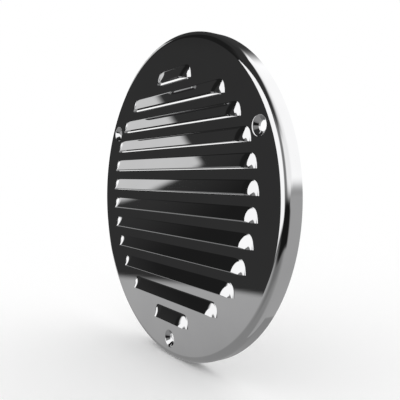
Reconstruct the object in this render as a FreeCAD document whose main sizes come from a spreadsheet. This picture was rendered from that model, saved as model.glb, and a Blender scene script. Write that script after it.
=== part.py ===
"""Round louvred vent cover, pressed from one sheet of polished stainless steel.

A flat round face bends into a short rim wall, whose edge rests on the wall round the end of a duct.
Rows of louvres are slit and pressed out of the face, and dimpled holes near its edge take the screws.
+Z is up, the face looks along -Y, and the origin is the centre of the rim's back edge.
"""
import FreeCAD, Part
import math
import os

import Sketcher

NODE = "vent_cover"

SIZES = (
    ("cover_diameter", 127, "outside of the rim wall"),
    ("rim_depth", 6.5, "front of the face to the rim's back edge"),
    ("sheet_thickness", 1, "the sheet that the whole cover is pressed from"),
    ("edge_bend", 2.6, "outside radius of the bend from face to rim wall"),
    ("louvre_pitch", 8.6, "from one louvre's slit to the next"),
    ("louvre_height", 5, "from a louvre's slit up to the line where it bends out of the face"),
    ("louvre_angle", 29, "degrees that a louvre leans out of the face"),
    ("louvre_end_radius", 5, "outside rounding of a louvre's closed ends"),
    ("louvre_foot", 1, "front radius of the bend where a louvre leaves the face"),
    ("louvre_margin", 12.7, "from the cover's outside to the circle that the louvres fill"),
    ("louvre_field_rise", 0.5, "the louvres' middle line above the cover's centre"),
    ("hole_inset", 7.3, "from the cover's outside to the hole centres"),
    ("hole_right_angle", 25.5, "degrees round the face from level right to the right hole"),
    ("hole_left_angle", 149.8, "degrees round the face from level right to the left hole"),
    ("hole_bottom_angle", 269.2, "degrees round the face from level right to the bottom hole"),
    ("hole_diameter", 3.7, "the straight hole that a screw's shank passes through"),
    ("hole_land", 0.75, "length of that straight hole"),
    ("dimple_diameter", 6.6, "the dimple round a screw hole, where it leaves the face"),
    ("dimple_angle", 90, "degrees across the dimple's cone"),
)

COVER_RADIUS = "Sizes.cover_diameter / 2"
FACE_Y = "-Sizes.rim_depth"
FIELD_RADIUS = f"({COVER_RADIUS} - Sizes.louvre_margin)"
LIFT = "Sizes.louvre_height * sin(Sizes.louvre_angle)"
MID_SHEET = "Sizes.sheet_thickness / 2"

HOLES = ("right", "left", "bottom")

START, END, CENTRE = range(1, 4)
AXIS_POINT = (-1, START)
H_AXIS, V_AXIS = -1, -2
BEND_MEET_DEG = 136
SAME = 1e-6


def fill_sheet(doc):
    """The driving dimensions, one row each: name, value and meaning."""
    sheet = doc.addObject("Spreadsheet::Sheet", "Sizes")
    for row, (name, value, meaning) in enumerate(SIZES, start=1):
        sheet.set(f"A{row}", name)
        sheet.set(f"B{row}", str(value))
        sheet.set(f"C{row}", meaning)
        sheet.setAlias(f"B{row}", name)
    doc.recompute()
    return sheet


def add(doc, kind, name, **expressions):
    """A new object whose properties follow the sheet; a double underscore stands for a dot."""
    thing = doc.addObject(kind, name)
    bind(thing, **expressions)
    return thing


def bind(thing, **expressions):
    for path, expression in expressions.items():
        thing.setExpression(path.replace("__", "."), expression)


def dimension(sketch, label, expression, kind, *where):
    """A sketch dimension that follows the sheet."""
    value = float(sketch.evalExpression(expression))
    index = sketch.addConstraint(Sketcher.Constraint(kind, *where, value))
    sketch.renameConstraint(index, label)
    sketch.setExpression(f"Constraints.{label}", expression)


def draw(sketch, shapes, joints):
    """The sketch's lines and arcs, and the constraints that join them by their names."""
    index = {name: sketch.addGeometry(shape) for name, shape in shapes.items()}
    for joint in joints:
        sketch.addConstraint(Sketcher.Constraint(*(index.get(part, part) for part in joint)))
    return index


def line(x0, y0, x1, y1):
    return Part.LineSegment(FreeCAD.Vector(x0, y0, 0), FreeCAD.Vector(x1, y1, 0))


def arc(x, y, radius, first_deg, last_deg):
    circle = Part.Circle(FreeCAD.Vector(x, y, 0), FreeCAD.Vector(0, 0, 1), radius)
    return Part.ArcOfCircle(circle, math.radians(first_deg), math.radians(last_deg))


def make_dish(doc, sheet):
    """Face, edge bend and rim wall: the sheet's section turned about the Y axis.

    The bend's two surfaces are each drawn as two arcs about one centre, which meet about halfway round.
    """
    body = doc.addObject("PartDesign::Body", "dish")
    sketch = body.newObject("Sketcher::SketchObject", "dish_section")
    plane = next(f for f in body.Origin.OriginFeatures if f.Role == "YZ_Plane")
    sketch.AttachmentSupport = [(plane, "")]
    sketch.MapMode = "FlatFace"

    radius = float(sheet.cover_diameter) / 2
    depth = float(sheet.rim_depth)
    thick = float(sheet.sheet_thickness)
    bend = float(sheet.edge_bend)
    flat = radius - bend
    turn = bend - depth
    reach = bend * math.sqrt(0.5)
    shapes = {
        "front": line(-depth, 0, -depth, flat),
        "outer_front": arc(turn, flat, bend, BEND_MEET_DEG, 180),
        "outer_side": arc(turn, flat, bend, 90, BEND_MEET_DEG),
        "wall": line(turn, radius, 0, radius),
        "edge": line(0, radius, 0, radius - thick),
        "inner_wall": line(0, radius - thick, turn, radius - thick),
        "inner_side": arc(turn, flat, bend - thick, 90, BEND_MEET_DEG),
        "inner_front": arc(turn, flat, bend - thick, BEND_MEET_DEG, 180),
        "back": line(thick - depth, flat, thick - depth, 0),
        "axis": line(thick - depth, 0, -depth, 0),
        "meeting": line(turn, flat, turn - reach, flat + reach),
    }
    joints = (
        ("Tangent", "front", END, "outer_front", END),
        ("Coincident", "outer_front", START, "outer_side", END),
        ("Tangent", "outer_side", START, "wall", START),
        ("Coincident", "wall", END, "edge", START),
        ("Coincident", "edge", END, "inner_wall", START),
        ("Tangent", "inner_wall", END, "inner_side", START),
        ("Coincident", "inner_side", END, "inner_front", START),
        ("Tangent", "inner_front", END, "back", START),
        ("Coincident", "back", END, "axis", START),
        ("Coincident", "axis", END, "front", START),
        ("Coincident", "outer_front", CENTRE, "outer_side", CENTRE),
        ("Coincident", "outer_front", CENTRE, "inner_side", CENTRE),
        ("Coincident", "outer_front", CENTRE, "inner_front", CENTRE),
        ("Coincident", "meeting", START, "outer_front", CENTRE),
        ("Coincident", "meeting", END, "outer_front", START),
        ("PointOnObject", "inner_front", START, "meeting"),
        ("Angle", "meeting", math.radians(BEND_MEET_DEG)),
        ("Vertical", "front"),
        ("Horizontal", "wall"),
        ("Vertical", "edge"),
        ("Horizontal", "inner_wall"),
        ("Vertical", "back"),
        ("PointOnObject", "edge", START, V_AXIS),
        ("PointOnObject", "axis", START, H_AXIS),
        ("PointOnObject", "axis", END, H_AXIS),
    )
    index = draw(sketch, shapes, joints)
    sketch.setConstruction(index["meeting"], True)
    dimension(sketch, "depth", "Sizes.rim_depth", "DistanceX", index["front"], START, *AXIS_POINT)
    dimension(sketch, "radius", COVER_RADIUS, "DistanceY", *AXIS_POINT, index["edge"], START)
    dimension(sketch, "thickness", "Sizes.sheet_thickness",
              "DistanceY", index["edge"], END, index["edge"], START)
    dimension(sketch, "bend", "Sizes.edge_bend", "Radius", index["outer_front"])

    turned = body.newObject("PartDesign::Revolution", "dish_turned")
    turned.Profile = sketch
    turned.ReferenceAxis = (sketch, ["H_Axis"])
    turned.Reversed = True
    turned.Angle = 360
    body.Tip = turned
    return body


def louvre_rows(sheet):
    """How many pitches each louvre's middle lies above the middle line, top row first.

    A row has a louvre where the field has room for one twice as long as its two rounded ends.
    """
    field = float(sheet.cover_diameter) / 2 - float(sheet.louvre_margin)
    height = float(sheet.louvre_height)
    pitch = float(sheet.louvre_pitch)
    least_half_length = 2 * float(sheet.louvre_end_radius)

    def has_room(pitches):
        slit = float(sheet.louvre_field_rise) + pitches * pitch - height / 2
        rounding = height if pitches > 0 else 0
        return (field - rounding) ** 2 - slit ** 2 > (least_half_length - rounding) ** 2

    half_count = int(field / pitch) + 1
    steps = [half_count - 0.5 - row for row in range(2 * half_count)]
    return [pitches for pitches in steps if has_room(pitches)]


def louvre_bar(doc, name, pitches, inset, length):
    """A bar with half-round edges that leans out of the face along a louvre's slope.

    Over the middle line a louvre's rounded upper corners touch the field's circle, and under it the
    ends of its slit do.
    """
    slit = f"(Sizes.louvre_field_rise + {pitches} * Sizes.louvre_pitch - Sizes.louvre_height / 2)"
    rounding_up = "Sizes.louvre_height" if pitches > 0 else "0"
    half_length = f"({rounding_up} + sqrt(({FIELD_RADIUS} - {rounding_up})^2 - {slit}^2))"
    end_run = f"sqrt(Sizes.louvre_end_radius^2 - (Sizes.louvre_end_radius - {LIFT})^2)"
    flat = f"{half_length} - {end_run}"
    rounding = f"Sizes.louvre_end_radius - {inset}"

    sketch = doc.addObject("Sketcher::SketchObject", f"{name}_section")
    sketch.Placement.Rotation = FreeCAD.Rotation(FreeCAD.Vector(1, 0, 0), 180)
    bind(sketch,
         Placement__Base__y=FACE_Y,
         Placement__Base__z=f"Sizes.louvre_field_rise + {pitches} * Sizes.louvre_pitch"
                            " + Sizes.louvre_height / 2",
         Placement__Rotation__Angle="180 deg - Sizes.louvre_angle * 1 deg")
    x = float(sketch.evalExpression(flat))
    r = float(sketch.evalExpression(rounding))
    y = -float(sketch.evalExpression("Sizes.louvre_end_radius"))
    shapes = {
        "right": arc(x, y, r, -90, 90),
        "left": arc(-x, y, r, 90, 270),
        "top": line(x, y + r, -x, y + r),
        "bottom": line(-x, y - r, x, y - r),
    }
    joints = (
        ("Tangent", "right", END, "top", START),
        ("Tangent", "top", END, "left", START),
        ("Tangent", "left", END, "bottom", START),
        ("Tangent", "bottom", END, "right", START),
        ("Equal", "left", "right"),
        ("Symmetric", "left", CENTRE, "right", CENTRE, V_AXIS),
    )
    index = draw(sketch, shapes, joints)
    dimension(sketch, "flat", flat, "DistanceX", *AXIS_POINT, index["right"], CENTRE)
    dimension(sketch, "sunk", "Sizes.louvre_end_radius", "DistanceY", index["right"], CENTRE, *AXIS_POINT)
    dimension(sketch, "rounding", rounding, "Radius", index["right"])

    bar = add(doc, "Part::Extrusion", f"{name}_bar", LengthFwd=length, LengthRev="Sizes.sheet_thickness")
    bar.Base = sketch
    bar.DirMode = "Normal"
    bar.Solid = True
    return bar


def above_slit(doc, name, bar, pitches, behind):
    """The part of a louvre's bar that lies above its slit, and no further behind the face than given."""
    reach = "2 * Sizes.louvre_height"
    room = add(
        doc, "Part::Box", f"{name}_room",
        Length="Sizes.cover_diameter",
        Width=f"{reach} + {behind}",
        Height="Sizes.louvre_height + Sizes.sheet_thickness",
        Placement__Base__x=f"-{COVER_RADIUS}",
        Placement__Base__y=f"{FACE_Y} - {reach}",
        Placement__Base__z=f"Sizes.louvre_field_rise + {pitches} * Sizes.louvre_pitch"
                           " - Sizes.louvre_height / 2")
    kept = doc.addObject("Part::Common", name)
    kept.Base = bar
    kept.Tool = room
    return kept


def louvre(doc, number, pitches):
    """A louvre's solid form, and the hollow that leaves the sheet's thickness of it."""
    name = f"louvre_{number}_form"
    bar = louvre_bar(doc, name, pitches, "0", "Sizes.louvre_height")
    form = above_slit(doc, name, bar, pitches, MID_SHEET)
    name = f"louvre_{number}_hollow"
    bar = louvre_bar(doc, name, pitches, "Sizes.sheet_thickness", "2 * Sizes.louvre_height")
    hollow = above_slit(doc, name, bar, pitches, "2 * Sizes.louvre_height")
    return form, hollow


def screw_dimple(doc, side):
    """A cone pressed back from the face, with a straight hole at its end: the form and its hollows."""
    ring = f"({COVER_RADIUS} - Sizes.hole_inset)"
    slope = "tan(Sizes.dimple_angle / 2)"
    cone_depth = f"((Sizes.dimple_diameter - Sizes.hole_diameter) / 2 / {slope})"
    depth = f"({cone_depth} + Sizes.hole_land)"
    wall = "Sizes.sheet_thickness / cos(Sizes.dimple_angle / 2)"
    mouth = "Sizes.dimple_diameter / 2"

    def place(kind, name, y, **sizes):
        thing = add(doc, kind, f"dimple_{side}_{name}", **sizes)
        thing.Placement.Rotation = FreeCAD.Rotation(FreeCAD.Vector(1, 0, 0), -90)
        bind(thing,
             Placement__Base__x=f"{ring} * cos(Sizes.hole_{side}_angle)",
             Placement__Base__y=y,
             Placement__Base__z=f"{ring} * sin(Sizes.hole_{side}_angle)")
        return thing

    form = place("Part::Cone", "form", f"{FACE_Y} + {MID_SHEET}",
                 Height=f"{depth} - {MID_SHEET}",
                 Radius1=f"{mouth} - {MID_SHEET} * {slope} + {wall}",
                 Radius2=f"{mouth} - {depth} * {slope} + {wall}")
    cone = place("Part::Cone", "cone", FACE_Y,
                 Height=cone_depth, Radius1=mouth, Radius2="Sizes.hole_diameter / 2")
    hole = place("Part::Cylinder", "hole", FACE_Y,
                 Height=f"{depth} + Sizes.sheet_thickness", Radius="Sizes.hole_diameter / 2")
    return form, [cone, hole]


def foot_edges(shape, y):
    """Numbers of the edges where louvres leave the face at y.

    Those are the ellipses round a louvre's ends and the straight line that joins their upper tips.
    """
    level = {number: edge for number, edge in enumerate(shape.Edges, start=1)
             if abs(edge.BoundBox.YMin - y) < SAME and abs(edge.BoundBox.YMax - y) < SAME}
    ends = [number for number, edge in level.items() if isinstance(edge.Curve, Part.Ellipse)]
    tips = [level[number].BoundBox.ZMax for number in ends]
    bends = [number for number, edge in level.items()
             if isinstance(edge.Curve, Part.Line) and any(abs(edge.BoundBox.ZMin - z) < SAME for z in tips)]
    return ends + bends


def round_feet(doc, pressed, sheet):
    """The pressed forms with a rounding along the front of every louvre's foot."""
    doc.recompute()
    radius = float(sheet.louvre_foot)
    feet = foot_edges(pressed.Shape, -float(sheet.rim_depth))
    rounded = doc.addObject("Part::Fillet", "rounded_forms")
    rounded.Base = pressed
    rounded.Edges = [(number, radius, radius) for number in feet]
    return rounded


def check(doc, node):
    """Every object recomputed, and the cover one valid solid."""
    failed = [thing.Name for thing in doc.Objects if {"Invalid", "Error"} & set(thing.State)]
    if failed:
        raise RuntimeError(f"these objects failed: {failed}")
    if node.Shape.isNull() or not node.Shape.isValid() or len(node.Shape.Solids) != 1:
        raise RuntimeError(f"{node.Label} is not one valid solid")


def main():
    doc = FreeCAD.newDocument("vent_cover")
    sheet = fill_sheet(doc)
    forms = [make_dish(doc, sheet)]
    hollows = []
    for number, pitches in enumerate(louvre_rows(sheet), start=1):
        form, hollow = louvre(doc, number, pitches)
        forms.append(form)
        hollows.append(hollow)
    for side in HOLES:
        form, cuts = screw_dimple(doc, side)
        forms.append(form)
        hollows.extend(cuts)

    pressed = doc.addObject("Part::MultiFuse", "pressed_forms")
    pressed.Shapes = forms
    opened = doc.addObject("Part::MultiFuse", "openings")
    opened.Shapes = hollows
    cover = doc.addObject("Part::Cut", NODE)
    cover.Base = round_feet(doc, pressed, sheet)
    cover.Tool = opened
    cover.Label = NODE

    doc.recompute()
    check(doc, cover)
    os.makedirs("parts", exist_ok=True)
    cover.Shape.exportStep(f"parts/{NODE}.step")


main()
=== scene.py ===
"""Round louvred vent cover in mirror-polished steel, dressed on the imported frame.

The cover is one pressed sheet: a flat round face with an edge bend and a rim wall, rows of louvres
that are slit and pressed out of the face, and dimpled screw holes. Its front and back surfaces are
worked out as grids, the flat between them is filled, and walls join the two along every cut edge.
"""
import math

import bpy
import numpy as np
from bpy.props import FloatProperty, FloatVectorProperty, PointerProperty
from mathutils import Matrix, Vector
from mathutils.geometry import delaunay_2d_cdt


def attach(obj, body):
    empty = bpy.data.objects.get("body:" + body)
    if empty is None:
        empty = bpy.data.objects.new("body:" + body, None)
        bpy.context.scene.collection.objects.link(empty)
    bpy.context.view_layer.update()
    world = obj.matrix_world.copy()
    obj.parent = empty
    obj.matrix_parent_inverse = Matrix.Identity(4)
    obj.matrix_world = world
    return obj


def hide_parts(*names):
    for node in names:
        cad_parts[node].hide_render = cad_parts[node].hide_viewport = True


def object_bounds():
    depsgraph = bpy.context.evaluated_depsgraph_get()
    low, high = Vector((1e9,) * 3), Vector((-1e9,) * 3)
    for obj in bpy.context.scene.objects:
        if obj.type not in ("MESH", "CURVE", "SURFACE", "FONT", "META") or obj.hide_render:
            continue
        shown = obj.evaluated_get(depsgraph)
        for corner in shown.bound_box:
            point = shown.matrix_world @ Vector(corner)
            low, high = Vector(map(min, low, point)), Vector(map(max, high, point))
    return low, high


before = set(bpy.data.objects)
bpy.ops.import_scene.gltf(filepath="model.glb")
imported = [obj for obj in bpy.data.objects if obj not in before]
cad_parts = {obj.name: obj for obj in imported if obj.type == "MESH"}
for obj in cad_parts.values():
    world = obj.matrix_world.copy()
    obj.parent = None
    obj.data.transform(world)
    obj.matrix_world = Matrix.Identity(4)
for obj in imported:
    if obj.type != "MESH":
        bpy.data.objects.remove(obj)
CAD_LOW, CAD_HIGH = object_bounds()

bl_info = {
    "name": "Round vent cover",
    "version": (1, 0, 0),
    "blender": (4, 5, 0),
    "location": "3D View > Sidebar > Vent cover",
    "description": "Builds a pressed steel vent cover and the stage it is shown on",
    "category": "Object",
}

NODE = "vent_cover"
MM = 0.001
IMAGE_PX = 400
SENSOR_MM = 36.0
NEAR_CLIP = 0.005
FLOOR_HALF = 3.0

# Fineness of the mesh. A support is a narrow flat border that keeps the shading of the face flat.
WELD = 1e-7
STEP = 1e-6
SHARP_DEG = 38
SUPPORT = 0.05 * MM
DIMPLE_SUPPORT = 0.03 * MM
END_COLUMNS, NEAR_COLUMNS, MIDDLE_COLUMNS = 30, 12, 7
FOOT_ROWS, SLOPE_ROWS, LIP_PASSES = 16, 13, 12
DIMPLE_STEPS, DIMPLE_TURNS, CONE_ROWS = 48, 9, 5
RIM_STEPS, BEND_TURNS, WALL_ROWS = 432, 15, 4
CONE_LEAN = math.radians(45)
PLAN_EPSILON = 1e-6
TRIANGLES_INSIDE = 1

# Detail of the steel's noises, and the sockets of a Mix node that mixes colours.
HAZE_DETAIL, WAVE_DETAIL, SCRATCH_DETAIL = 4, 1, 2
HAZE_RANGE = (0.35, 0.75)
SCRATCH_STRETCH = 60.0
MIX_A, MIX_B, MIX_RESULT = 6, 7, 2

# The painted reflections: a far glowing sphere and a near card that show only in the polish, with their
# brightness painted by direction. Angles are in degrees: AZ to the right of straight ahead, EL up.
# A BAND is its low and high edge and the softness of each. A RAMP goes from 0 at its first angle to 1
# at its second. A CURVE is a row of angles and the edge's place at each.
REFLECTION_SPHERE_RADIUS = 20.0
REFLECTION_GLOW = "glow"
REFLECTION_SPHERE_AZ_RUNS = ((-180, -90, 2), (-90, -40, 0.25), (-40, 120, 1), (120, 180, 2))
REFLECTION_SPHERE_EL_RUNS = ((-90, -20, 2), (-20, 40, 0.25), (40, 91, 2))
# Painted reflection of darker cloth to the left of the white panel in front.
DARKER_REFLECTION_LIFT = 1.3
DARKER_REFLECTION_AZ_BAND, DARKER_REFLECTION_EL_BAND = (-68, -35, 4, 8), (17, 57, 3, 8)
BEHIND_LIFT = 0.2
BEHIND_AZ_RAMP = (-165, -140)
BACK_AZ_BAND = (-150, -105, 12, 7)
LEFT_EL_BAND, LEFT_AZ_RAMP, LEFT_SOFT = (15, 30.3, 1, 0.5), (-106, -94), 0.5
LEFT_END_CURVE = ((18, 22, 27, 31), (-74.5, -72.9, -71.9, -71.4))
LOW_LEFT_AZ_BAND, LOW_LEFT_EL_BAND = (-122, -78, 6, 3), (-8, 15, 3, 1)
SIDE_AZ_RAMP, SIDE_EL_RAMP, SIDE_LIFT_AZ_RAMP = (38, 98), (0, 12), (100, 140)
GREY_AZ_BAND, GREY_EL_BAND = (14, 46, 8, 6), (0, 37, 6, 7)
STRIP_AZ_RAMP, STRIP_END_AZ_RAMP, STRIP_EL_BAND = (38, 58), (90, 110), (4, 37, 8, 7)
FRONT_TOP_CURVE, FRONT_TOP_SOFT = ((-45, -30, -10, 10, 20), (16, 24, 28, 28, 25)), 5
FRONT_LEFT_CURVE = ((-5, 0, 5, 10, 15, 20), (-41, -44, -46, -46.5, -48, -46))
FRONT_LEFT_RAMP, FRONT_END_AZ_RAMP, FRONT_EL_RAMP = (0, 5), (7, 23), (-12.5, -7)
# Painted reflection of the floor: grey with a soft edge, lighter to the right and on the left near its edge,
# with a band of painted shade.
FLOOR_REFLECTION_EDGE_CURVE = ((-67, -47, 70, 95), (-10.4, -12.8, -12.8, 5))
FLOOR_REFLECTION_SOFT_CURVE = ((70, 95), (0.4, 4))
FLOOR_REFLECTION_RIGHT_LIFT, FLOOR_REFLECTION_RIGHT_AZ_RAMP = 0.16, (30, 100)
FLOOR_REFLECTION_LEFT_LIFT, FLOOR_REFLECTION_LEFT_AZ_RAMP, FLOOR_REFLECTION_LEFT_EL_RAMP = 0.2, (-30, 0), (-28, -12)
FLOOR_REFLECTION_SHADE, FLOOR_REFLECTION_SHADE_AZ_BAND, FLOOR_REFLECTION_SHADE_EL_RAMP = 0.1, (-15, 65, 15, 20), (-48, -30)
# Painted black patch in the floor's reflection, where the camera stands.
DARK_PATCH_UPPER_CURVE, DARK_PATCH_UPPER_SOFT = ((-40, 0, 20, 40, 70, 90), (-13, -11, -4.5, -0.5, -1.5, -4)), 3
DARK_PATCH_LOWER_CURVE, DARK_PATCH_LOWER_SOFT = ((-40, -20, 0, 20), (-12, -14.5, -22, -27)), 2
DARK_PATCH_AZ_RAMP, DARK_PATCH_END_AZ_RAMP = (-38, 12), (80, 104)
# Place and corners of the glowing card that paints the reflection of the white panel in front.
REFLECTION_PANEL_Y = -124 * MM
REFLECTION_PANEL_CORNERS_MM = (
    (-35, 0), (82, 0), (80, 60), (72, 100), (62, 122), (51, 127), (9, 133), (-39, 120), (-70, 111),
    (-80, 102), (-70, 62))


def length(name, description, default_mm):
    """A size in metres whose default is written in millimetres."""
    return FloatProperty(
        name=name, description=description, default=default_mm * MM, min=0.0, unit="LENGTH", precision=5)


def angle(name, description, default_deg):
    """An angle in radians whose default is written in degrees."""
    return FloatProperty(
        name=name, description=description, default=math.radians(default_deg), unit="ROTATION")


def share(name, description, default):
    """A value from 0 to 1."""
    return FloatProperty(
        name=name, description=description, default=default, min=0.0, max=1.0, subtype="FACTOR")


def colour(name, description, default):
    """A colour without alpha."""
    return FloatVectorProperty(
        name=name, description=description, default=default, size=3, min=0.0, max=1.0, subtype="COLOR")


class CoverSizes(bpy.types.PropertyGroup):
    """Sizes of the pressed sheet, as in the solid but for the louvres' ends and the dimples' edges."""
    radius: FloatProperty(
        name="Radius", description="Outside of the rim wall", unit="LENGTH",
        default=min(CAD_HIGH.x, -CAD_LOW.x, CAD_HIGH.z, -CAD_LOW.z))
    rim_depth: length("Rim depth", "Front of the face to the rim's back edge", 6.5)
    sheet: length("Sheet", "Thickness of the sheet", 1.0)
    edge_bend: length("Edge bend", "Outside radius of the bend from face to rim wall", 2.6)
    louvre_pitch: length("Louvre pitch", "From one slit to the next", 8.6)
    louvre_height: length("Louvre height", "From a slit up to the line where the louvre bends out", 5.0)
    louvre_lean: angle("Louvre lean", "How far a louvre leans out of the face", 29.0)
    louvre_end: length("Louvre end", "How far along a louvre its rounded end begins", 3.6)
    louvre_corner: FloatProperty(
        name="Louvre corner", description="Exponent of a louvre's rounded corners, 2 for an ellipse",
        default=3.0)
    louvre_wall: angle("Louvre wall", "How steeply a louvre's ends leave the face", 62.0)
    crest_low: length("Crest at the slit", "From a louvre's end to its end wall's crest, at the slit", 2.8)
    crest_high: length("Crest on top", "The same at the bend line", 3.9)
    louvre_crest: share("Louvre crest", "Rounding of the end wall's crest, as a share of its height", 0.7)
    louvre_foot: length("Louvre foot", "Bend where a louvre leaves the face", 1.0)
    louvre_margin: length("Louvre margin", "From the outside to the circle that the louvres fill", 12.7)
    louvre_rise: length("Louvre rise", "The louvres' middle line above the centre", 0.5)
    hole_ring: length("Hole ring", "Radius of the circle that the screw holes lie on", 56.2)
    hole_right: angle("Right hole", "Angle of the right hole from level right", 25.5)
    hole_left: angle("Left hole", "Angle of the left hole from level right", 149.8)
    hole_bottom: angle("Bottom hole", "Angle of the bottom hole from level right", 269.2)
    hole: length("Hole", "Radius of the straight hole", 1.85)
    hole_land: length("Hole land", "Length of the straight hole", 0.75)
    dimple: length("Dimple", "Radius of the dimple where its cone meets the face", 3.3)
    dimple_edge: length("Dimple edge", "Rounding where the dimple leaves the face", 0.6)


class SteelFinish(bpy.types.PropertyGroup):
    """The polish of the sheet."""
    steel: colour("Steel", "Colour of the polished metal", (0.63, 0.63, 0.635))
    hazed: colour("Hazed steel", "Colour where the polish is dulled", (0.60, 0.60, 0.605))
    polish: share("Polish", "Roughness where the polish is best", 0.01)
    haze: share("Haze", "Roughness where the polish is dulled", 0.035)
    haze_scale: FloatProperty(name="Haze scale", description="Patches of haze to the metre", default=70.0)
    wave_scale: FloatProperty(name="Wave scale", description="Slow waves to the metre", default=35.0)
    wave_height: length("Wave height", "Height of the slow waves that pressing leaves in the sheet", 0.02)
    scratch_scale: FloatProperty(
        name="Scratch scale", description="Polishing scratches to the metre", default=1600.0)
    scratch_height: length("Scratch height", "Height of the polishing scratches", 0.0002)


class StageSettings(bpy.types.PropertyGroup):
    """Camera, floor, and the glows of the painted reflections round the cover."""
    focal_px: FloatProperty(name="Focal length", description="In pixels of the image", default=505.3)
    camera_at: FloatVectorProperty(
        name="Camera", description="Where the camera stands", default=(0.1695, -0.1110, 0.0065),
        subtype="XYZ", unit="LENGTH")
    azimuth: angle("Azimuth", "How far the camera stands to the right of straight on", 55.19)
    elevation: angle("Elevation", "How far the camera looks down", 2.09)
    roll: angle("Roll", "How far the camera is turned about its line of sight", 0.81)
    floor: share("Floor", "Lightness of the floor", 1.0)
    light: share("Light", "Strength of the even light from all round", 1.0)
    # Glows of the painted reflections, seen only in the polish: cloth, panels, white sides and floor.
    dark_cloth_reflection: share("Dark cloth", "Glow of the cloth in front and overhead", 0.042)
    black_reflection: share("Black cloth", "Glow of the darkest cloth and of the flag by the camera", 0.013)
    back_cloth_reflection: share("Back cloth", "Glow of the cloth behind on the left", 0.05)
    grey_cloth_reflection: share("Grey cloth", "Glow of the cloth between the white ones", 0.28)
    grey_floor_reflection: share("Grey floor", "Glow of the tent's floor", 0.34)
    light_panel_reflection: share("Light panel", "Glow of the left panel", 0.82)
    white_panel_reflection: FloatProperty(
        name="White panel", description="Glow of the panels in front and low on the left", default=1.5,
        min=0.0)
    white_side_reflection: FloatProperty(
        name="White side", description="Glow of the white on the right and behind", default=1.3, min=0.0)


def grid_faces(rows, columns, closed=False):
    """Quads of a grid of points kept row by row; a closed grid joins its last column to its first."""
    across = np.arange(columns if closed else columns - 1)
    down = np.arange(rows - 1)[:, None] * columns
    here, beside = across + down, (across + 1) % columns + down
    return np.stack([here, here + columns, beside + columns, beside], -1).reshape(-1, 4)


def points(x, y, z):
    """Arrays of coordinates as rows of points."""
    return np.stack(np.broadcast_arrays(x, y, z), -1).reshape(-1, 3)


def louvre_rows(size):
    """Middle height and half-length of every louvre, top row first.

    Over the middle line a louvre's rounded upper corners touch the circle that the louvres fill, so
    its half-length is high + sqrt((field - high)^2 - slit^2). Under it the ends of its slit touch the
    circle, at sqrt(field^2 - slit^2). A row is left out where its louvre would have no room.
    """
    field = size.radius - size.louvre_margin
    half_count = int(field / size.louvre_pitch) + 1
    steps = half_count - 0.5 - np.arange(2 * half_count)
    middle = size.louvre_rise + steps * size.louvre_pitch
    rounding = np.where(steps > 0, size.louvre_height, 0)
    room = (field - rounding) ** 2 - (middle - size.louvre_height / 2) ** 2
    has_room = room > (2 * size.louvre_height - rounding) ** 2
    return middle[has_room], rounding[has_room] + np.sqrt(room[has_room])


def foot_blend(size, steepness):
    """How far over and under the face a louvre's foot is rounded: foot * (sqrt(1 + steepness^2) - 1)."""
    return size.louvre_foot * (np.sqrt(1 + steepness ** 2) - 1)


def louvre_form(size, slit, straight, x, z):
    """Height of one louvre's front over the face.

    The slope is drop * tan(lean), with drop the distance below the bend line. It stands on an outline
    where q = ((across / end)^n + (up / high)^n)^(1 / n) is 1. The end wall falls evenly from the slope at
    its crest line to the outline, and is nowhere higher than (1 - q) * end * tan(wall). The crest line is a
    parabola from its place at the slit to its place at the bend line. The louvre is the lower of slope and
    wall, less (k - gap)^2 / (4 k) where they are closer than k, a share of the slope. Within b of the face
    the parabola (height + b)^2 / (4 b) takes over, with b from foot_blend.
    """
    high, run, power = size.louvre_height, size.louvre_end, size.louvre_corner
    lean, wall = math.tan(size.louvre_lean), math.tan(size.louvre_wall)
    along = np.abs(x) - straight
    across = np.maximum(along, 0)
    up = np.maximum(z - slit, 0) / high
    down = np.maximum(1 - up, 0)
    slope = (high + slit - z) * lean
    outline = run * np.maximum(1 - up ** power, 0) ** (1 / power)
    crest = run - size.crest_high - (size.crest_low - size.crest_high) * down ** 2
    gauge = ((across / run) ** power + up ** power) ** (1 / power)
    falling = slope * (outline - along) / np.maximum(outline - crest, WELD)
    side = np.minimum(falling, (1 - gauge) * run * wall)
    soft = np.maximum(slope, WELD) * size.louvre_crest
    near = np.maximum(soft - np.abs(slope - side), 0)
    sharp = np.minimum(slope, side) - near ** 2 / (4 * soft)
    blend = foot_blend(size, lean + (wall - lean) * np.minimum(across / run, 1) * down)
    weight = np.clip((sharp + blend) / (2 * blend), 0, 1)
    return np.where(sharp > blend, sharp, blend * weight ** 2)


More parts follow.
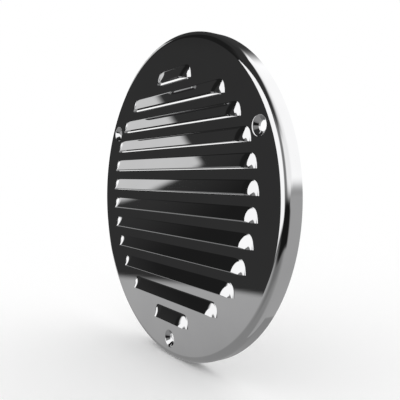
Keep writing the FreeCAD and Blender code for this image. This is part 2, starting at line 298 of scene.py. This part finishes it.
def louvre_patch(size, middle, half):
    """Front and back points of one louvre, on columns across and rows down to its lip.

    The columns end just outside the foot of the end wall. The upper rows keep their distance from the
    outline, and the lower ones share out the rest. The lip is where the slope's own length reaches the
    louvre's height, and never below the slit.
    """
    high, sheet = size.louvre_height, size.sheet
    sin, cos = math.sin(size.louvre_lean), math.cos(size.louvre_lean)
    slit = middle - high / 2
    run, power = size.louvre_end, size.louvre_corner
    straight = half - run
    wall = math.tan(size.louvre_wall)
    rounding = foot_blend(size, wall) / wall

    def form(x, z):
        return louvre_form(size, slit, straight, x, z)

    end = straight + (run + rounding) * np.sin(np.linspace(0, math.pi / 2, END_COLUMNS)) ** (2 / power)
    end = np.append(end, end[-1] + SUPPORT)
    near = straight - min(high, straight / 2) * np.linspace(1, 0, NEAR_COLUMNS)[:-1]
    middle_part = np.linspace(-near[0], near[0], MIDDLE_COLUMNS)[1:-1]
    x = np.concatenate([-end[::-1], -near[::-1], middle_part, near, end])
    lip = np.full_like(x, slit)
    for _ in range(LIP_PASSES):
        lip = np.maximum(slit, slit + high - (high - form(x, lip) * sin) / cos)
    across = np.maximum(np.abs(x) - straight, 0)
    out = np.append(rounding + SUPPORT, np.linspace(rounding, -size.louvre_foot, FOOT_ROWS))[:, None]
    rest = np.maximum(1 - (across / (run + out)) ** power, 0)
    upper = np.maximum(slit + (high + out) * rest ** (1 / power), lip)
    lower = upper[-1] + (lip - upper[-1]) * np.linspace(0, 1, SLOPE_ROWS)[1:, None]
    z = np.concatenate([upper, lower])

    height = form(x, z)
    lean_x = (form(x + STEP, z) - form(x - STEP, z)) / (2 * STEP)
    lean_z = (form(x, z + STEP) - form(x, z - STEP)) / (2 * STEP)
    thick = sheet / np.sqrt(1 + lean_x ** 2 + lean_z ** 2)
    front_y = -size.rim_depth - height
    front = points(x, front_y, z)
    back = points(x + lean_x * thick, front_y + thick, np.maximum(z + lean_z * thick, slit))
    return front, back, grid_faces(*z.shape), np.arange(len(x))


def dimple_patch(size, angle_round):
    """Front and back points of one screw dimple, on rings round its middle.

    Its section is a rounding out of the face, a cone of 45 degrees, and a straight hole. The back
    keeps the sheet's thickness behind the rounding and the cone, and ends level with the hole.
    """
    edge, sheet = size.dimple_edge, size.sheet
    start = size.dimple + edge * math.tan(CONE_LEAN / 2)
    depth = size.dimple - size.hole
    end = depth + size.hole_land
    turn = np.linspace(0, CONE_LEAN, DIMPLE_TURNS)
    cone = np.linspace(0, 1, CONE_ROWS)[1:, None]
    corner = np.array([start, edge])
    swing = np.stack([-np.sin(turn), -np.cos(turn)], -1)
    front = np.concatenate([[[start + DIMPLE_SUPPORT, 0]], corner + edge * swing])
    back = np.concatenate([[[start + DIMPLE_SUPPORT, sheet]], corner + (edge - sheet) * swing])
    slope_end = np.array([size.hole, depth])
    boss_end = np.array([size.hole + sheet / math.cos(CONE_LEAN) - size.hole_land, end])
    front = np.concatenate([front, front[-1] + (slope_end - front[-1]) * cone, [[size.hole, end]]])
    back = np.concatenate([back, back[-1] + (boss_end - back[-1]) * cone, [[size.hole, end]]])

    around = np.arange(DIMPLE_STEPS) * 2 * math.pi / DIMPLE_STEPS
    middle_x = size.hole_ring * math.cos(angle_round)
    middle_z = size.hole_ring * math.sin(angle_round)

    def turned(section):
        radius, deep = section[:, :1], section[:, 1:]
        return points(
            middle_x + radius * np.cos(around), deep - size.rim_depth, middle_z + radius * np.sin(around))

    faces = grid_faces(len(front), DIMPLE_STEPS, closed=True)[:, ::-1]
    return turned(front), turned(back), faces, np.arange(DIMPLE_STEPS)


def rim_patch(size):
    """Front and back points of the edge bend and rim wall, a section turned about the Y axis."""
    bend, sheet, depth = size.edge_bend, size.sheet, size.rim_depth
    flat = size.radius - bend
    turn = np.linspace(0, math.pi / 2, BEND_TURNS)
    middle = np.array([flat, bend - depth])
    swing = np.stack([np.sin(turn), -np.cos(turn)], -1)
    wall = np.concatenate([[bend - depth + SUPPORT], np.linspace(bend - depth, 0, WALL_ROWS)[1:]])

    def section(radius, outside, level):
        return np.concatenate([[[flat - SUPPORT, level]], middle + radius * swing,
                               np.stack([np.full_like(wall, outside), wall], -1)])

    front = section(bend, size.radius, -depth)
    back = section(bend - sheet, size.radius - sheet, sheet - depth)
    around = np.arange(RIM_STEPS) * 2 * math.pi / RIM_STEPS

    def turned(profile):
        radius, y = profile[:, :1], profile[:, 1:]
        return points(radius * np.cos(around), y, radius * np.sin(around))

    faces = grid_faces(len(front), RIM_STEPS, closed=True)
    return turned(front), turned(back), faces, np.arange(RIM_STEPS)


def fill_flat(size, loops):
    """The flat of the face: triangles between closed loops of its points, the rim's first.

    Every other loop is convex and stays open, so a triangle with all its corners on one is left out.
    """
    counts = [len(loop) for loop in loops]
    starts = np.cumsum([0] + counts[:-1])
    flat = np.concatenate(loops)
    edges = [(start + i, start + (i + 1) % count)
             for start, count in zip(starts, counts) for i in range(count)]
    plan = [tuple(point) for point in (flat[:, [0, 2]] / MM).tolist()]
    _, _, faces, sources, _, _ = delaunay_2d_cdt(plan, edges, [], TRIANGLES_INSIDE, PLAN_EPSILON)
    first = np.array([source[0] for source in sources])
    faces = first[np.array(faces)]
    owner = np.repeat(np.arange(len(loops)), counts)[faces]
    in_opening = (owner == owner[:, :1]).all(1) & (owner[:, 0] > 0)
    return flat, flat + np.array([0, size.sheet, 0]), faces[~in_opening]


def welded(vertices, faces):
    """The same surface with points that coincide made one, and faces of no area left out."""
    keys = np.round(vertices / WELD).astype(np.int64)
    _, first, index = np.unique(keys, axis=0, return_index=True, return_inverse=True)
    faces = index.reshape(-1)[faces]
    repeats = faces == np.roll(faces, -1, axis=1)
    whole = faces[repeats.sum(1) == 0]
    cut, gone = faces[repeats.sum(1) == 1], repeats[repeats.sum(1) == 1]
    triangles = cut[~gone].reshape(-1, 3)
    return vertices[first], whole, triangles[triangles[:, 0] != triangles[:, 2]]


def sheet_of(patches):
    """One closed sheet from patches of front and back points, with walls along every open edge."""
    front, back, faces, base = [], [], [], 0
    for patch_front, patch_back, patch_faces in patches:
        if patch_faces.shape[1] == 3:
            patch_faces = np.concatenate([patch_faces, patch_faces[:, 2:]], 1)
        front.append(patch_front)
        back.append(patch_back)
        faces.append(patch_faces + base)
        base += len(patch_front)
    front, back, faces = np.concatenate(front), np.concatenate(back), np.concatenate(faces)

    keys = np.round(front / WELD).astype(np.int64)
    _, first, index = np.unique(keys, axis=0, return_index=True, return_inverse=True)
    faces = index.reshape(-1)[faces]
    faces = faces[(faces == np.roll(faces, -1, axis=1)).sum(1) < 2]
    front, back = front[first], back[first]

    edges = np.stack([faces, np.roll(faces, -1, axis=1)], -1).reshape(-1, 2)
    edges = edges[edges[:, 0] != edges[:, 1]]
    _, index, count = np.unique(np.sort(edges, 1), axis=0, return_inverse=True, return_counts=True)
    open_edges = edges[count[index.reshape(-1)] == 1]
    behind = len(front)
    first, last = open_edges.T
    walls = np.stack([last, first, first + behind, last + behind], 1)
    return welded(np.concatenate([front, back]), np.concatenate([faces, faces[:, ::-1] + behind, walls]))


def pressed_cover_mesh(size):
    """The whole cover as one closed mesh."""
    patches, loops = [], []
    made = [rim_patch(size)]
    made += [louvre_patch(size, middle, half) for middle, half in zip(*louvre_rows(size))]
    made += [dimple_patch(size, turn) for turn in (size.hole_right, size.hole_left, size.hole_bottom)]
    for front, back, faces, loop in made:
        patches.append((front, back, faces))
        loops.append(front[loop])
    patches.append(fill_flat(size, loops))
    vertices, quads, triangles = sheet_of(patches)
    mesh = bpy.data.meshes.new("pressed_cover")
    mesh.from_pydata(vertices.tolist(), [], quads.tolist() + triangles.tolist())
    mesh.polygons.foreach_set("use_smooth", np.ones(len(mesh.polygons), bool))
    mesh.set_sharp_from_angle(angle=math.radians(SHARP_DEG))
    mesh.validate()
    return mesh


def new_material(name):
    """An empty node material, with its nodes and links."""
    material = bpy.data.materials.new(name)
    material.use_nodes = True
    material.node_tree.nodes.clear()
    return material, material.node_tree.nodes, material.node_tree.links


def polished_steel(finish):
    """Mirror-polished sheet with slow waves from the press, fine level scratches and faint haze."""
    material, nodes, links = new_material("polished_steel")
    place = nodes.new("ShaderNodeTexCoord")

    def noise(detail, scale, stretch=1.0):
        """Noise in the object's own space, drawn out along its X axis."""
        spread = nodes.new("ShaderNodeMapping")
        spread.inputs["Scale"].default_value = (scale / stretch, scale, scale)
        links.new(place.outputs["Object"], spread.inputs["Vector"])
        texture = nodes.new("ShaderNodeTexNoise")
        texture.inputs["Scale"].default_value = 1
        texture.inputs["Detail"].default_value = detail
        links.new(spread.outputs[0], texture.inputs["Vector"])
        return texture.outputs["Fac"]

    def bump(height, distance):
        """Relief of a given height."""
        relief = nodes.new("ShaderNodeBump")
        relief.inputs["Distance"].default_value = distance
        links.new(height, relief.inputs["Height"])
        return relief

    def mapped(value, source, target):
        """A value moved from one range to another and kept inside it."""
        node = nodes.new("ShaderNodeMapRange")
        for name, edge in zip(("From Min", "From Max", "To Min", "To Max"), (*source, *target)):
            node.inputs[name].default_value = edge
        links.new(value, node.inputs["Value"])
        return node.outputs[0]

    haze = mapped(noise(HAZE_DETAIL, finish.haze_scale), HAZE_RANGE, (0, 1))
    tint = nodes.new("ShaderNodeMix")
    tint.data_type = "RGBA"
    tint.inputs[MIX_A].default_value = (*finish.steel, 1)
    tint.inputs[MIX_B].default_value = (*finish.hazed, 1)
    links.new(haze, tint.inputs["Factor"])
    waves = bump(noise(WAVE_DETAIL, finish.wave_scale), finish.wave_height)
    scratches = bump(noise(SCRATCH_DETAIL, finish.scratch_scale, SCRATCH_STRETCH), finish.scratch_height)
    links.new(waves.outputs[0], scratches.inputs["Normal"])

    metal = nodes.new("ShaderNodeBsdfPrincipled")
    metal.inputs["Metallic"].default_value = 1
    links.new(tint.outputs[MIX_RESULT], metal.inputs["Base Color"])
    links.new(mapped(haze, (0, 1), (finish.polish, finish.haze)), metal.inputs["Roughness"])
    links.new(scratches.outputs[0], metal.inputs["Normal"])
    out = nodes.new("ShaderNodeOutputMaterial")
    links.new(metal.outputs[0], out.inputs[0])
    return material


def rise(low, high, value):
    """0 up to low, 1 from high on, and a smooth step between."""
    share_up = np.clip((value - low) / (high - low), 0, 1)
    return share_up ** 2 * (3 - 2 * share_up)


def between(low, high, soft_low, soft_high, value):
    """1 between two edges, with a smooth step of its own softness over each."""
    return rise(low - soft_low, low + soft_low, value) * (1 - rise(high - soft_high, high + soft_high, value))


def painted_reflection_glow(stage, az, el):
    """Painted reflection: how bright the sphere glows in a direction, given in degrees to the right of
    straight ahead and up.

    The glow is painted to stand for dark cloth in front and overhead, and for darker cloth to the left of the
    white panel in front. Painted white stands behind, on the right and low on the left, with a light panel
    over that. Painted grey cloth hangs between front and right. The painted floor is grey, with a black patch
    where the camera stands.
    """
    glow = np.full(np.broadcast_shapes(az.shape, el.shape), stage.dark_cloth_reflection)

    def lay(level, mask):
        """Paint one glow of the reflection over what is there, as far as its mask says."""
        glow[...] = glow + (level - glow) * mask

    # Painted darker reflection to the left of the white panel in front.
    lay(DARKER_REFLECTION_LIFT * stage.black_reflection, between(*DARKER_REFLECTION_EL_BAND, el) * between(*DARKER_REFLECTION_AZ_BAND, az))
    lay(stage.white_side_reflection + BEHIND_LIFT, 1 - rise(*BEHIND_AZ_RAMP, az))
    lay(stage.back_cloth_reflection, between(*BACK_AZ_BAND, az))
    left_end = az - np.interp(el, *LEFT_END_CURVE)
    lay(stage.light_panel_reflection, between(*LEFT_EL_BAND, el) * rise(*LEFT_AZ_RAMP, az)
        * (1 - rise(-LEFT_SOFT, LEFT_SOFT, left_end)))
    lay(stage.white_panel_reflection, between(*LOW_LEFT_EL_BAND, el) * between(*LOW_LEFT_AZ_BAND, az))
    lay(stage.white_side_reflection + BEHIND_LIFT * rise(*SIDE_LIFT_AZ_RAMP, az),
        rise(*SIDE_AZ_RAMP, az) * rise(*SIDE_EL_RAMP, el))
    lay(stage.grey_cloth_reflection, between(*GREY_AZ_BAND, az) * between(*GREY_EL_BAND, el))
    lay(stage.white_side_reflection, rise(*STRIP_AZ_RAMP, az) * (1 - rise(*STRIP_END_AZ_RAMP, az))
        * between(*STRIP_EL_BAND, el))

    top = np.interp(az, *FRONT_TOP_CURVE)
    left = np.interp(el, *FRONT_LEFT_CURVE)
    lay(stage.white_panel_reflection, rise(*FRONT_LEFT_RAMP, az - left) * (1 - rise(*FRONT_END_AZ_RAMP, az))
        * rise(*FRONT_EL_RAMP, el) * (1 - rise(top - FRONT_TOP_SOFT, top + FRONT_TOP_SOFT, el)))

    # Painted reflection of a grey floor, with a band of painted shade.
    edge = np.interp(az, *FLOOR_REFLECTION_EDGE_CURVE)
    soft = np.interp(az, *FLOOR_REFLECTION_SOFT_CURVE)
    floor = (stage.grey_floor_reflection + FLOOR_REFLECTION_RIGHT_LIFT * rise(*FLOOR_REFLECTION_RIGHT_AZ_RAMP, az)
             + FLOOR_REFLECTION_LEFT_LIFT * rise(*FLOOR_REFLECTION_LEFT_EL_RAMP, el) * (1 - rise(*FLOOR_REFLECTION_LEFT_AZ_RAMP, az))
             - FLOOR_REFLECTION_SHADE * between(*FLOOR_REFLECTION_SHADE_AZ_BAND, az) * rise(*FLOOR_REFLECTION_SHADE_EL_RAMP, el))
    lay(floor, 1 - rise(edge - soft, edge + soft, el))

    # Painted black patch in the floor's reflection, where the camera stands.
    upper = np.interp(az, *DARK_PATCH_UPPER_CURVE)
    lower = np.interp(az, *DARK_PATCH_LOWER_CURVE)
    lay(stage.black_reflection, rise(lower - DARK_PATCH_LOWER_SOFT, lower + DARK_PATCH_LOWER_SOFT, el)
        * (1 - rise(upper - DARK_PATCH_UPPER_SOFT, upper + DARK_PATCH_UPPER_SOFT, el))
        * rise(*DARK_PATCH_AZ_RAMP, az) * (1 - rise(*DARK_PATCH_END_AZ_RAMP, az)))
    return glow


def in_polish_only(name, mesh):
    """Stand a glowing card as a painted reflection: it shows in the polish, but not to the camera and not as
    light or shadow.
    """
    thing = bpy.data.objects.new(name, mesh)
    bpy.context.scene.collection.objects.link(thing)
    thing.visible_camera = thing.visible_diffuse = thing.visible_shadow = False


def glowing(name):
    """A material that only glows, and the strength of its glow."""
    material, nodes, links = new_material(name)
    out = nodes.new("ShaderNodeOutputMaterial")
    light = nodes.new("ShaderNodeEmission")
    links.new(light.outputs[0], out.inputs[0])
    return material, light.inputs["Strength"]


def painted_reflection_sphere(stage):
    """A far sphere round everything, with the glow of its painted reflection kept on its points."""
    az = np.concatenate([np.arange(*run) for run in REFLECTION_SPHERE_AZ_RUNS]).astype(float)
    el = np.concatenate([np.arange(*run) for run in REFLECTION_SPHERE_EL_RUNS]).astype(float)[:, None]
    turn, up = np.radians(az), np.radians(el)
    place = points(REFLECTION_SPHERE_RADIUS * np.sin(turn) * np.cos(up), -REFLECTION_SPHERE_RADIUS * np.cos(turn) * np.cos(up),
                   REFLECTION_SPHERE_RADIUS * np.sin(up))
    mesh = bpy.data.meshes.new("painted_reflection_sphere")
    mesh.from_pydata(place.tolist(), [], grid_faces(len(el), len(az), closed=True).tolist())
    mesh.attributes.new(REFLECTION_GLOW, "FLOAT", "POINT").data.foreach_set("value", painted_reflection_glow(stage, az, el).ravel())
    material, strength = glowing("painted_reflection_sphere")
    glow = material.node_tree.nodes.new("ShaderNodeAttribute")
    glow.attribute_name = REFLECTION_GLOW
    material.node_tree.links.new(glow.outputs["Fac"], strength)
    mesh.materials.append(material)
    in_polish_only("painted_reflection_sphere", mesh)


def painted_panel_reflection(stage):
    """A painted reflection of the near upper part of the white panel in front: a glowing card seen only in
    the polish.
    """
    mesh = bpy.data.meshes.new("painted_panel_reflection")
    corners = [(x * MM, REFLECTION_PANEL_Y, z * MM) for x, z in REFLECTION_PANEL_CORNERS_MM]
    mesh.from_pydata(corners, [], [tuple(range(len(corners)))])
    material, strength = glowing("painted_panel_reflection")
    strength.default_value = stage.white_panel_reflection
    mesh.materials.append(material)
    in_polish_only("painted_panel_reflection", mesh)


def pale_floor(stage):
    """A plain floor under the cover, hidden from the polish; the grey floor of the painted reflections stands
    for it there.
    """
    mesh = bpy.data.meshes.new("floor")
    far, level = FLOOR_HALF, CAD_LOW.z
    corners = [(-far, -far, level), (far, -far, level), (far, far, level), (-far, far, level)]
    mesh.from_pydata(corners, [], [tuple(range(len(corners)))])
    mesh.materials.append(plain("floor", stage.floor))
    floor = bpy.data.objects.new("floor", mesh)
    bpy.context.scene.collection.objects.link(floor)
    floor.visible_glossy = False


def plain(name, shade):
    """A matt grey of one shade."""
    material, nodes, links = new_material(name)
    out = nodes.new("ShaderNodeOutputMaterial")
    matt = nodes.new("ShaderNodeBsdfDiffuse")
    matt.inputs["Color"].default_value = (shade, shade, shade, 1)
    links.new(matt.outputs[0], out.inputs[0])
    return material


def white_world(strength):
    """White for the camera, reflections and glass; a plain level for everything that lights the object."""
    world = bpy.data.worlds.new("studio")
    bpy.context.scene.world = world
    world.use_nodes = True
    nodes, links = world.node_tree.nodes, world.node_tree.links
    nodes.clear()
    path = nodes.new("ShaderNodeLightPath")
    either = nodes.new("ShaderNodeMath")
    either.operation = "ADD"
    links.new(path.outputs["Is Camera Ray"], either.inputs[0])
    links.new(path.outputs["Is Glossy Ray"], either.inputs[1])
    seen = nodes.new("ShaderNodeMath")
    seen.operation = "ADD"
    seen.use_clamp = True
    links.new(either.outputs[0], seen.inputs[0])
    links.new(path.outputs["Is Transmission Ray"], seen.inputs[1])
    level = nodes.new("ShaderNodeMapRange")
    level.inputs["To Min"].default_value = strength
    level.inputs["To Max"].default_value = 1
    links.new(seen.outputs[0], level.inputs["Value"])
    background = nodes.new("ShaderNodeBackground")
    background.inputs["Color"].default_value = (1, 1, 1, 1)
    links.new(level.outputs[0], background.inputs["Strength"])
    out = nodes.new("ShaderNodeOutputWorld")
    links.new(background.outputs[0], out.inputs[0])


def stand_camera(stage):
    """The camera from its place, azimuth, elevation and roll."""
    a, e, r = stage.azimuth, stage.elevation, stage.roll
    back = np.array([math.sin(a) * math.cos(e), -math.cos(a) * math.cos(e), math.sin(e)])
    right = np.array([math.cos(a), math.sin(a), 0])
    up = np.cross(back, right)
    turned_right = math.cos(r) * right + math.sin(r) * up
    turned_up = math.cos(r) * up - math.sin(r) * right
    data = bpy.data.cameras.new("camera")
    data.sensor_width = SENSOR_MM
    data.lens = stage.focal_px / IMAGE_PX * SENSOR_MM
    data.clip_start = NEAR_CLIP
    camera = bpy.data.objects.new("camera", data)
    bpy.context.scene.collection.objects.link(camera)
    matrix = Matrix.Identity(4)
    for column, axis in enumerate((turned_right, turned_up, back, stage.camera_at)):
        for row in range(3):
            matrix[row][column] = axis[row]
    camera.matrix_world = matrix
    bpy.context.scene.camera = camera


class VENT_OT_pressed_cover(bpy.types.Operator):
    """Build the pressed cover in polished steel"""
    bl_idname = "vent.pressed_cover"
    bl_label = "Pressed cover"

    def execute(self, context):
        mesh = pressed_cover_mesh(context.scene.vent_sizes)
        mesh.materials.append(polished_steel(context.scene.vent_finish))
        cover = bpy.data.objects.new("pressed_cover", mesh)
        context.scene.collection.objects.link(cover)
        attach(cover, "root")
        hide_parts(NODE)
        return {"FINISHED"}


class VENT_OT_stage(bpy.types.Operator):
    """Set up the floor, the painted reflections, world and camera"""
    bl_idname = "vent.stage"
    bl_label = "Stage"

    def execute(self, context):
        stage = context.scene.vent_stage
        stand_camera(stage)
        white_world(stage.light)
        pale_floor(stage)
        painted_reflection_sphere(stage)
        painted_panel_reflection(stage)
        context.scene.view_settings.view_transform = "Standard"
        return {"FINISHED"}


class VENT_PT_cover(bpy.types.Panel):
    """The cover's sizes, its finish and its stage"""
    bl_label = "Vent cover"
    bl_idname = "VENT_PT_cover"
    bl_space_type = "VIEW_3D"
    bl_region_type = "UI"
    bl_category = "Vent cover"

    def draw(self, context):
        for group in ("vent_sizes", "vent_finish", "vent_stage"):
            settings = getattr(context.scene, group)
            box = self.layout.box()
            for name in settings.__annotations__:
                box.prop(settings, name)
        self.layout.operator(VENT_OT_pressed_cover.bl_idname)
        self.layout.operator(VENT_OT_stage.bl_idname)


GROUPS = {"vent_sizes": CoverSizes, "vent_finish": SteelFinish, "vent_stage": StageSettings}
CLASSES = (*GROUPS.values(), VENT_OT_pressed_cover, VENT_OT_stage, VENT_PT_cover)


def register():
    for each in CLASSES:
        bpy.utils.register_class(each)
    for name, group in GROUPS.items():
        setattr(bpy.types.Scene, name, PointerProperty(type=group))


def unregister():
    for name in GROUPS:
        delattr(bpy.types.Scene, name)
    for each in reversed(CLASSES):
        bpy.utils.unregister_class(each)


def main():
    register()
    bpy.ops.vent.pressed_cover()
    bpy.ops.vent.stage()


if __name__ == "__main__":
    main()
